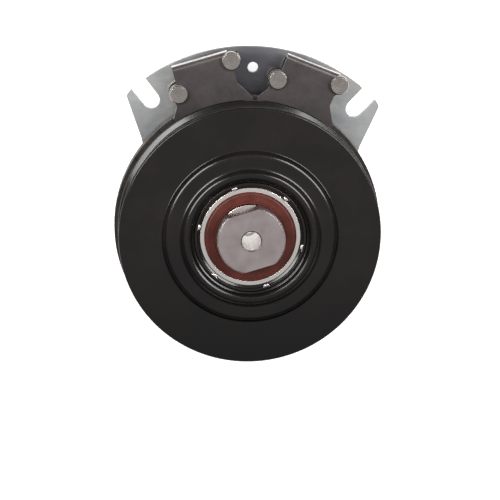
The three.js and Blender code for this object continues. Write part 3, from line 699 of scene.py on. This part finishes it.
def hub_nose():
    low, high = levels("hub_nose")
    collar = levels("pulley_bearing_inner_race")[1] + 0.2
    profile = [
        (BOLT_HOLE_R, high - 0.8), (BOLT_HOLE_R + 0.8, high), (NOSE_R - 0.8, high, 0.15),
        (NOSE_R, high - 0.8, 0.3), (NOSE_R, collar, 0.3), (15, collar), (15, low, 0.4), (BOLT_HOLE_R, low),
    ]
    nose = turned("nose_with_flats", profile, NARROW)
    for y in ((NOSE_FLAT, 30), (-30, -NOSE_FLAT)):
        boolean(nose, turn(block("flat_cutter", (-30, 30), y, (collar - 0.1, high + 5), 0), FLAT_ANGLE))

    def bolt_hole(centre, normal):
        return centre.xy.length < BOLT_HOLE_R + 0.1 and abs(normal.z) < 0.3

    # The bolt hole's wall takes the painted-light material.
    place(nose, "hub_nose", BORE_PAINTED_LIGHT, bolt_hole)


def rotor_hub():
    low, high = levels("rotor_hub")
    shoulder = levels("field_bearing_inner_race")[1] + 0.2
    socket = levels("hub_nose")[0] - 0.2
    groove_low, groove_high = RING_GROOVE
    profile = [
        (CRANK_R + 0.5, low), (JOURNAL_R - 0.6, low, 0.1), (JOURNAL_R, low + 0.6),
        (JOURNAL_R, groove_low), (RING_GROOVE_R, groove_low), (RING_GROOVE_R, groove_high),
        (JOURNAL_R, groove_high), (JOURNAL_R, shoulder), (20.1, shoulder, 0.4), (20.1, high, 0.3),
        (15.1, high), (15.1, socket), (CRANK_R, socket), (CRANK_R, low + 0.5),
    ]
    hub = turned("keyed_rotor_hub", profile, NARROW)
    key = block("key_cutter", (-KEY[0] / 2, KEY[0] / 2), (0, CRANK_R + KEY[1]), (-1, socket + 0.01), 0)
    place(boolean(hub, key), "rotor_hub")


def banana_slots(count, span, inner, outer, low, high):
    """Cutters for curved slots: the flux barriers in the rotor and the armature."""
    bm = bmesh.new()
    for k in range(count):
        begin = 360 * k / count
        outline = arc(outer, begin, begin + span, 24) + arc(inner, begin + span, begin, 24)
        prism_into(bm, [(p.x, p.y, low) for p in outline], [(p.x, p.y, high) for p in outline])
    return to_object("slot_cutter", bm)


OUTER_POLE_R = 75
INNER_POLE_R = 40
POLE_RING_T = 4
ROTOR_EYE_Z = 19


def rotor():
    low, high = levels("rotor")
    top = high - 3.6
    disc_low = top - 3.7
    radius = reach("rotor")
    profile = [
        (radius, top, 0.4), (radius, disc_low, 0.6), (OUTER_POLE_R, disc_low, 0.8), (OUTER_POLE_R, low, 0.3),
        (OUTER_POLE_R - POLE_RING_T, low, 0.3), (OUTER_POLE_R - POLE_RING_T, disc_low, 0.8),
        (INNER_POLE_R, disc_low, 0.8), (INNER_POLE_R, low, 0.3), (INNER_POLE_R - POLE_RING_T, low, 0.3),
        (INNER_POLE_R - POLE_RING_T, ROTOR_EYE_Z), (20.2, ROTOR_EYE_Z), (20.2, high, 0.4), (26.1, high, 0.5),
        (28.1, top, 1),
    ]
    made = turned("rotor_disc", profile)
    place(boolean(made, banana_slots(6, 45.8, 52, 55, disc_low - 1, top + 1)), "rotor")


SPRINGS = 3
SPRING_Y = 44
SPRING_T = 0.8
SPRING_WIDTH = 11
SPRING_HOLE_R = 2.55
SPRING_RIVETS = {"pulley": -13, "armature": 38}


def armature():
    low, high = levels("armature")
    radius = reach("armature")
    profile = [(50, low, 0.3), (radius, low, 0.35), (radius, high, 0.35), (50, high, 0.4)]
    made = turned("armature_disc", profile)
    boolean(made, banana_slots(3, 86, 66, 68.5, low - 1, high + 1))
    drill = [
        (0, low - 1), (4.4, low - 1), (4.4, low + 1.2), (SPRING_HOLE_R, low + 1.2),
        (SPRING_HOLE_R, high + 1), (0, high + 1),
    ]
    bm = bmesh.new()
    for k in range(SPRINGS):
        around = Matrix.Rotation(math.radians(360 * k / SPRINGS), 2)
        spin_into(bm, drill, 32, around @ Vector((SPRING_RIVETS["armature"], SPRING_Y)))
    place(boolean(made, to_object("drills", bm)), "armature")


hub_nose()
rotor_hub()
rotor()
armature()

# ---------------------------------------------------------------- leaf springs and their rivets


def spring_rivet(kind, number, grip):
    """A rivet set from its head, at the rear, through the layers between the two grip levels."""
    node = f"{kind}_spring_rivet_{number}"
    low, high = levels(node)
    head = {"pulley": 4, "armature": 4.1}[kind]
    profile = [
        (0, low), (head - 0.6, low, 0.3), (head, low + 0.5, 0.3), (head, grip[0]), (2.4, grip[0]),
        (2.4, grip[1]), (4, grip[1], 0.2), (3.9, grip[1] + 0.6, 0.6), (2.6, high, 0.8), (0, high),
    ]
    spot = (SPRING_RIVETS[kind], SPRING_Y)
    rivet = turned(f"{kind}_side_spring_rivet_{number}", profile, 32, spot)
    place(turn(rivet, 360 * (number - 1) / SPRINGS), node)


def springs():
    low, top = levels("leaf_spring_1")
    side = rounded([
        (-18.5, top - SPRING_T, 0.2), (-5, top - SPRING_T, 6), (28, low, 6), (43.5, low, 0.2),
        (43.5, low + SPRING_T, 0.2), (28, low + SPRING_T, 6), (-5, top, 6), (-18.5, top, 0.2),
    ])
    pulley_grip = (top - SPRING_T - 0.1, levels("pulley_hub")[0] + 2.9)
    armature_grip = (low - 2.6, low + SPRING_T + 0.1)
    for number in range(1, SPRINGS + 1):
        bm = bmesh.new()
        near = [(p.x, SPRING_Y - SPRING_WIDTH / 2, p.y) for p in side]
        far = [(p.x, SPRING_Y + SPRING_WIDTH / 2, p.y) for p in side]
        prism_into(bm, near, far)
        strip = to_object(f"spring_strip_{number}", bm)
        for x in SPRING_RIVETS.values():
            boolean(strip, pin("drill", SPRING_HOLE_R, low - 2, top + 2, 32, (x, SPRING_Y)))
        place(turn(strip, 360 * (number - 1) / SPRINGS), f"leaf_spring_{number}")
        spring_rivet("pulley", number, pulley_grip)
        spring_rivet("armature", number, armature_grip)


springs()

# ---------------------------------------------------------------- field shell, coil and connector

SHELL_R = reach("field_shell")
SHELL_TOP = 16.8
SHELL_WALL = 3
TANGS = 6
COIL_R = 68
COIL_BORE_R = 43
WIRE = 0.9
LEAD_R = 1.1
LEAD_HOLE_R = 1.4
LEAD_X = 4.5
LEAD_Z = 5.2


def tang_blocks(x, half, z, edge):
    """A bmesh of boxes where the field shell's tangs are, all the way round."""
    bm = bmesh.new()
    for k in range(TANGS):
        before = set(bm.verts)
        block_into(bm, x, (-half, half), z, edge)
        fresh = [v for v in bm.verts if v not in before]
        around = Matrix.Rotation(2 * math.pi * k / TANGS, 3, "Z")
        bmesh.ops.rotate(bm, cent=(0, 0, 0), matrix=around, verts=fresh)
    return bm


def along_lead(piece, side):
    """Lays a piece that was turned about Z along the coil lead on one side: its +Z becomes -Y."""
    spot = Matrix.Translation((side * LEAD_X * MM, 0, LEAD_Z * MM))
    piece.data.transform(spot @ Matrix.Rotation(math.pi / 2, 4, "X"))
    return piece


def field_shell():
    floor_top = SHELL_WALL
    inside = SHELL_R - SHELL_WALL
    seat = 31.2
    boss_top = 18.2
    shell = turned("pressed_field_shell", [
        (seat - 2.5, 0, 0.6), (SHELL_R, 0, 4), (SHELL_R, SHELL_TOP, 0.3), (inside, SHELL_TOP, 0.3),
        (inside, floor_top, 1.5), (35, floor_top, 1), (35, boss_top, 0.5), (seat, boss_top, 0.6),
        (seat, floor_top + 0.1, 0.3), (seat - 2.5, floor_top + 0.1),
    ])
    plate_top = levels("mounting_plate")[1]
    tangs = tang_blocks((75.9, 78.3), 4, (SHELL_TOP - 1, plate_top + 0.5), 0.3)
    boolean(shell, to_object("tangs", tangs), "UNION")
    for side in (-1, 1):
        boolean(shell, along_lead(pin("lead_hole", LEAD_HOLE_R, 66, 82, 24), side))
    place(shell, "field_shell")


def coil():
    low, high = levels("coil_bobbin")
    place(turned("moulded_bobbin", [
        (COIL_BORE_R, low), (COIL_R, low, 0.4), (COIL_R, low + 1.2, 0.4), (44.6, low + 1.2, 0.5),
        (44.6, high - 1.2, 0.5), (COIL_R, high - 1.2, 0.4), (COIL_R, high, 0.4), (COIL_BORE_R, high),
    ]), "coil_bobbin")
    turns = int((high - low - 3.2) / WIRE)
    start = (low + high) / 2 - turns * WIRE / 2
    waves = [(66.8 - (0 if k % 2 else WIRE * 0.35), start + WIRE * k / 2, 0.3) for k in range(2 * turns + 1)]
    place(turned("wound_coil", [(44.9, start), *waves, (44.9, start + turns * WIRE)]), "coil_winding")
    low, high = levels("potting_resin")
    inside = COIL_R + 0.2
    outside = SHELL_R - SHELL_WALL - 0.2
    place(turned("cast_resin", [
        (inside, low), (outside, low), (outside, high, 0.3), (inside, high, 0.3),
    ]), "potting_resin")


CONNECTOR_WALL = 1.6
GRIP_X = 11
GRIP_LEVELS = (-86, -83, -80.5)


def connector():
    low, high = (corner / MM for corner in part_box("connector_housing"))
    x = (low.x, high.x)
    y = (low.y, high.y)
    z = (low.z, high.z)
    housing = block("harness_socket", x, y, z, 0.6)
    mouth_x = (x[0] + CONNECTOR_WALL, x[1] - CONNECTOR_WALL)
    mouth_z = (z[0] + CONNECTOR_WALL, z[1] - CONNECTOR_WALL)
    boolean(housing, block("mouth_cutter", mouth_x, (y[0] - 1, y[1] - 3), mouth_z, 0.4))
    for side in (-1, 1):
        for grip_y in GRIP_LEVELS:
            grip_x = (side * GRIP_X - 0.41, side * GRIP_X + 0.01)
            groove = block("groove", grip_x, (grip_y - 0.5, grip_y + 0.5), (z[0] + 1.5, z[1] - 1.5), 0.1)
            boolean(housing, groove)
    for number, side in ((1, -1), (2, 1)):
        a, b = (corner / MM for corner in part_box(f"connector_blade_{number}"))
        slot_x = (a.x - 0.15, b.x + 0.15)
        slot_z = (a.z - 0.15, b.z + 0.15)
        boolean(housing, block("blade_slot", slot_x, (a.y - 0.1, b.y + 0.9), slot_z, 0))
        blade = block(f"tinned_blade_{number}", (a.x, b.x), (a.y, b.y), (a.z, b.z), 0.2)
        place(blade, f"connector_blade_{number}")
        p, q = (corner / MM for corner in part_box(f"coil_lead_{number}"))
        wire = [(0, -q.y), (LEAD_R, -q.y, 0.1), (LEAD_R, -p.y, 0.1), (0, -p.y)]
        place(along_lead(turned(f"lead_wire_{number}", wire, 24), side), f"coil_lead_{number}")
    place(housing, "connector_housing")


def snap_ring():
    low, high = levels("field_bearing_snap_ring")
    inner = 16.5
    outer = 19.4
    gap = 9
    ring = arc(outer, 90 + gap, 450 - gap, 90) + arc(inner, 450 - gap, 90 + gap, 90)
    place(flat_piece("open_snap_ring", ring, [], low, high, 0.15), "field_bearing_snap_ring")


field_shell()
coil()
connector()
snap_ring()

# ---------------------------------------------------------------- mounting plate

PLATE_R = 112
PLATE_LOW_R = 80
PLATE_BORE_R = 75.7
SLOT_ANGLE = 40
SLOT_HALF = 5.25
SLOT_CENTRE_R = 98.6
EAR_ROOT = (68.5, 51.5)
EAR_TIP = (79.2, 78.2)
EAR_ANGLE = 47
SMALL_HOLE = (-1.5, 98.8)
SMALL_HOLE_R = 3.25


def slot(angle):
    """Points round an open slot, turned clockwise from +Y."""
    mouth_y = math.sqrt(PLATE_R ** 2 - SLOT_HALF ** 2)
    half = [
        Vector((SLOT_HALF, mouth_y)), *arc(SLOT_HALF, 0, -180, 16, (0, SLOT_CENTRE_R)),
        Vector((-SLOT_HALF, mouth_y)),
    ]
    return [Matrix.Rotation(math.radians(-angle), 2) @ p for p in half]


def mounting_plate():
    low, high = levels("mounting_plate")
    outline = arc(PLATE_LOW_R, 180 - 33.6, 360 + 33.6, 150)
    shoulder = rounded([EAR_ROOT, (*EAR_TIP, 5), polar(PLATE_R - 0.2, EAR_ANGLE), (60, 60)])[1:-2]
    slot_edge = math.degrees(math.asin(SLOT_HALF / PLATE_R))
    tip = 90 - SLOT_ANGLE - slot_edge
    outline += [Vector(EAR_ROOT), *shoulder, polar(PLATE_R - 0.15, tip - 0.5)]
    outline += slot(SLOT_ANGLE)
    outline += arc(PLATE_R, 90 - SLOT_ANGLE + slot_edge + 0.6, 90 + SLOT_ANGLE - slot_edge - 0.6, 60)
    outline += slot(-SLOT_ANGLE)
    outline += [polar(PLATE_R - 0.15, 180 - tip + 0.5)]
    outline += [Vector((-p[0], p[1])) for p in [EAR_ROOT, *shoulder][::-1]]
    holes = [circle(PLATE_BORE_R, steps=180), circle(SMALL_HOLE_R, SMALL_HOLE, 36)]
    plate = flat_piece("slotted_plate", outline, holes, low, high, 0.3)
    bm = tang_blocks((70, 78.7), 4.2, (low - 1, high + 1), 0)
    drill = [(0, low - 1), (RIVET_HOLE_R, low - 1), (RIVET_HOLE_R, high + 1), (0, high + 1)]
    for way in (1, -1):
        around = Matrix.Rotation(math.radians(way * BRAKE_ANGLE), 2)
        for spot in RIVETS:
            spin_into(bm, drill, 32, around @ Vector(spot))
    place(boolean(plate, to_object("notches", bm)), "mounting_plate")


# ---------------------------------------------------------------- brakes

BRAKE_ANGLE = 18.9
BRAKE_INNER_R = 68.5
RIVETS = ((-17.9, 93.2), (18.7, 104.1))
RIVET_HOLE_R = 2.7
RIVET_SHANK_R = 2.5
SPACER_R = 3.5
RIVET_HEAD_R = 5.8
TURNING = ((4.7, 0.08), (4, 0.02), (3.3, 0.12), (2.6, 0.06), (1.9, 0.17), (1.2, 0.12))
BOSS_R = 6
FLANGE_Y = 109.9
FLANGE_X = 17.6
FLANGE_T = 2.2
BEND_R = 2.9
BACKING_Y = 107.5
BACKING_INNER_R = 84.8
POLE_T = 2.4
POLE_FOOT = 17.4
BACKING_FOOT = 12.5
MAGNET_X = (-12.5, 12.5)
MAGNET_Y = (87, 106.9)


def brake_shape(inner, foot, outer_y):
    """Outline of a pole or backing plate, between a circle at its inner end and a straight outer edge.

    foot is half of the angle, in degrees, that the inner end covers."""
    (ax, ay), (bx, by) = RIVETS
    boss_b = arc(BOSS_R, -72, math.degrees(math.asin((outer_y - by) / BOSS_R)), 14, (bx, by))
    boss_a = arc(BOSS_R, 88, 234, 14, (ax, ay))
    left = [(-20.9, 86, 4), (-25.4, 78.5, 0.6)]
    right = [(25.4, 78.5, 0.6), (18.4, 89.5, 1.5), (18.4, 96.3, 1)]
    corners = [
        *arc(inner, 90 + foot, 90 - foot, 24), *right, *boss_b,
        (-FLANGE_X, outer_y, 0.6), *boss_a, *left,
    ]
    return rounded([tuple(c) for c in corners if math.hypot(*c[:2]) > inner - 0.01])


def flange(name, low, high):
    """The outer edge of a pole plate, bent down in front of its magnet.

    Its leg, which overlaps the plate, lies a hair below the plate's face."""
    inside = FLANGE_Y - FLANGE_T
    leg = inside - 4
    leg_low = high - POLE_T + 0.04
    top = high - 0.01
    section = rounded([
        (inside, low, 0.3), (FLANGE_Y, low, 0.3), (FLANGE_Y, top, BEND_R), (leg, top),
        (leg, leg_low), (inside, leg_low, 0.4),
    ], 8)
    bm = bmesh.new()
    prism_into(bm, [(-FLANGE_X, p.x, p.y) for p in section], [(FLANGE_X, p.x, p.y) for p in section])
    return to_object(name, bm)


def side_faces(centre, normal):
    return abs(normal.z) < 0.3


def brake_rivet(side, end, spot, angle, under_head):
    low, high = levels(f"brake_rivet_{side}_{end}")
    plate_low = levels("mounting_plate")[0]
    profile = [
        (0, low + 0.3), (1.6, low + 0.25, 0.4), (3.4, low, 0.6), (4.6, low + 0.1, 0.6),
        (5, plate_low - 0.1, 0.3), (RIVET_SHANK_R, plate_low - 0.1), (RIVET_SHANK_R, under_head),
        (RIVET_HEAD_R, under_head, 0.15), (RIVET_HEAD_R, high - 0.7, 0.15), (5.2, high, 0.15),
        *[(r, high - depth, 0.3) for r, depth in TURNING], (0, high - 0.3),
    ]
    rivet = turned(f"turned_rivet_{side}_{end}", profile, 64, spot)
    place(turn(rivet, angle), f"brake_rivet_{side}_{end}")


def brake(side, way):
    angle = way * BRAKE_ANGLE
    holes = [circle(RIVET_HOLE_R, spot, 32) for spot in RIVETS]
    low, pole_top = levels(f"brake_pole_{side}")
    outline = brake_shape(BRAKE_INNER_R, POLE_FOOT, FLANGE_Y - BEND_R)
    pole = flat_piece(f"pole_plate_{side}", outline, holes, pole_top - POLE_T, pole_top, 0.22)
    merged(pole, flange("flange", low, pole_top))
    place(turn(pole, angle), f"brake_pole_{side}", SHEARED, side_faces)
    low, high = levels(f"brake_backing_{side}")
    outline = brake_shape(BACKING_INNER_R, BACKING_FOOT, BACKING_Y)
    backing = flat_piece(f"backing_plate_{side}", outline, holes, low, high, 0.22)
    place(turn(backing, angle), f"brake_backing_{side}", SHEARED, side_faces)
    magnet = block(f"ferrite_magnet_{side}", MAGNET_X, MAGNET_Y, levels(f"brake_magnet_{side}"), 0.5)
    place(turn(magnet, angle), f"brake_magnet_{side}")
    for end, spot in zip("ab", RIVETS):
        low, high = levels(f"brake_spacer_{side}_{end}")
        profile = [
            (RIVET_HOLE_R, low, 0.1), (SPACER_R, low, 0.2), (SPACER_R, high, 0.2), (RIVET_HOLE_R, high, 0.1),
        ]
        sleeve = turned(f"spacer_sleeve_{side}_{end}", profile, 40, spot)
        place(turn(sleeve, angle), f"brake_spacer_{side}_{end}")
        brake_rivet(side, end, spot, angle, pole_top + 0.1)


mounting_plate()
brake("left", 1)
brake("right", -1)

# ---------------------------------------------------------------- floor and light

FLOOR_GAP = 0.2
FLOOR_REACH = 3000
SOFTBOXES = {"softbox_left": (150, 38), "softbox_right": (36, 34)}
SOFTBOX_TILT = math.radians(44)
SOFTBOX_DISTANCE = 1.5
SOFTBOX_SIZE = (0.95, 0.5)
SKY_FADE = {"From Min": 0.5, "From Max": 0.95, "To Min": 0.05, "To Max": 0.7}


def floor():
    bm = bmesh.new()
    bmesh.ops.create_grid(bm, x_segments=1, y_segments=1, size=FLOOR_REACH)
    ground = to_object("floor", bm)
    ground.location.z = -FLOOR_GAP * MM
    s = Shader("floor", (0.6, 0.6, 0.6), 0.8)
    s.set("Emission Color", (1, 1, 1, 1))
    s.set("Emission Strength", 0.85)
    ground.data.materials.append(s.material)


def softbox(name, azimuth, power):
    """An area light that looks at the pulley, leaning away from the clutch axis."""
    data = bpy.data.lights.new(name, "AREA")
    data.shape = "RECTANGLE"
    data.size, data.size_y = SOFTBOX_SIZE
    data.energy = power
    lamp = bpy.data.objects.new(name, data)
    across = polar(math.sin(SOFTBOX_TILT), azimuth)
    way = Vector((across.x, across.y, math.cos(SOFTBOX_TILT)))
    lamp.location = Vector((0, 0, 0.05)) + way * SOFTBOX_DISTANCE
    lamp.rotation_euler = way.to_track_quat("Z", "Y").to_euler()
    bpy.context.scene.collection.objects.link(lamp)


def world():
    """A room that is bright overhead and dark towards the horizon, before a white backdrop."""
    sky = bpy.data.worlds.new("studio")
    sky.use_nodes = True
    nodes = sky.node_tree.nodes
    links = sky.node_tree.links
    background = nodes["Background"]
    background.inputs["Color"].default_value = (1.0, 0.98, 0.97, 1)
    coordinates = nodes.new("ShaderNodeTexCoord")
    axes = nodes.new("ShaderNodeSeparateXYZ")
    fade = nodes.new("ShaderNodeMapRange")
    fade.interpolation_type = "SMOOTHSTEP"
    links.new(coordinates.outputs["Generated"], axes.inputs[0])
    links.new(axes.outputs["Z"], fade.inputs["Value"])
    for key, value in SKY_FADE.items():
        fade.inputs[key].default_value = value
    path = nodes.new("ShaderNodeLightPath")
    brighter = nodes.new("ShaderNodeMath")
    brighter.operation = "MAXIMUM"
    links.new(fade.outputs[0], brighter.inputs[0])
    links.new(path.outputs["Is Camera Ray"], brighter.inputs[1])
    links.new(brighter.outputs[0], background.inputs["Strength"])
    bpy.context.scene.world = sky


floor()
for softbox_name, (azimuth, power) in SOFTBOXES.items():
    softbox(softbox_name, azimuth, power)
world()
bpy.context.scene.view_settings.view_transform = "Standard"
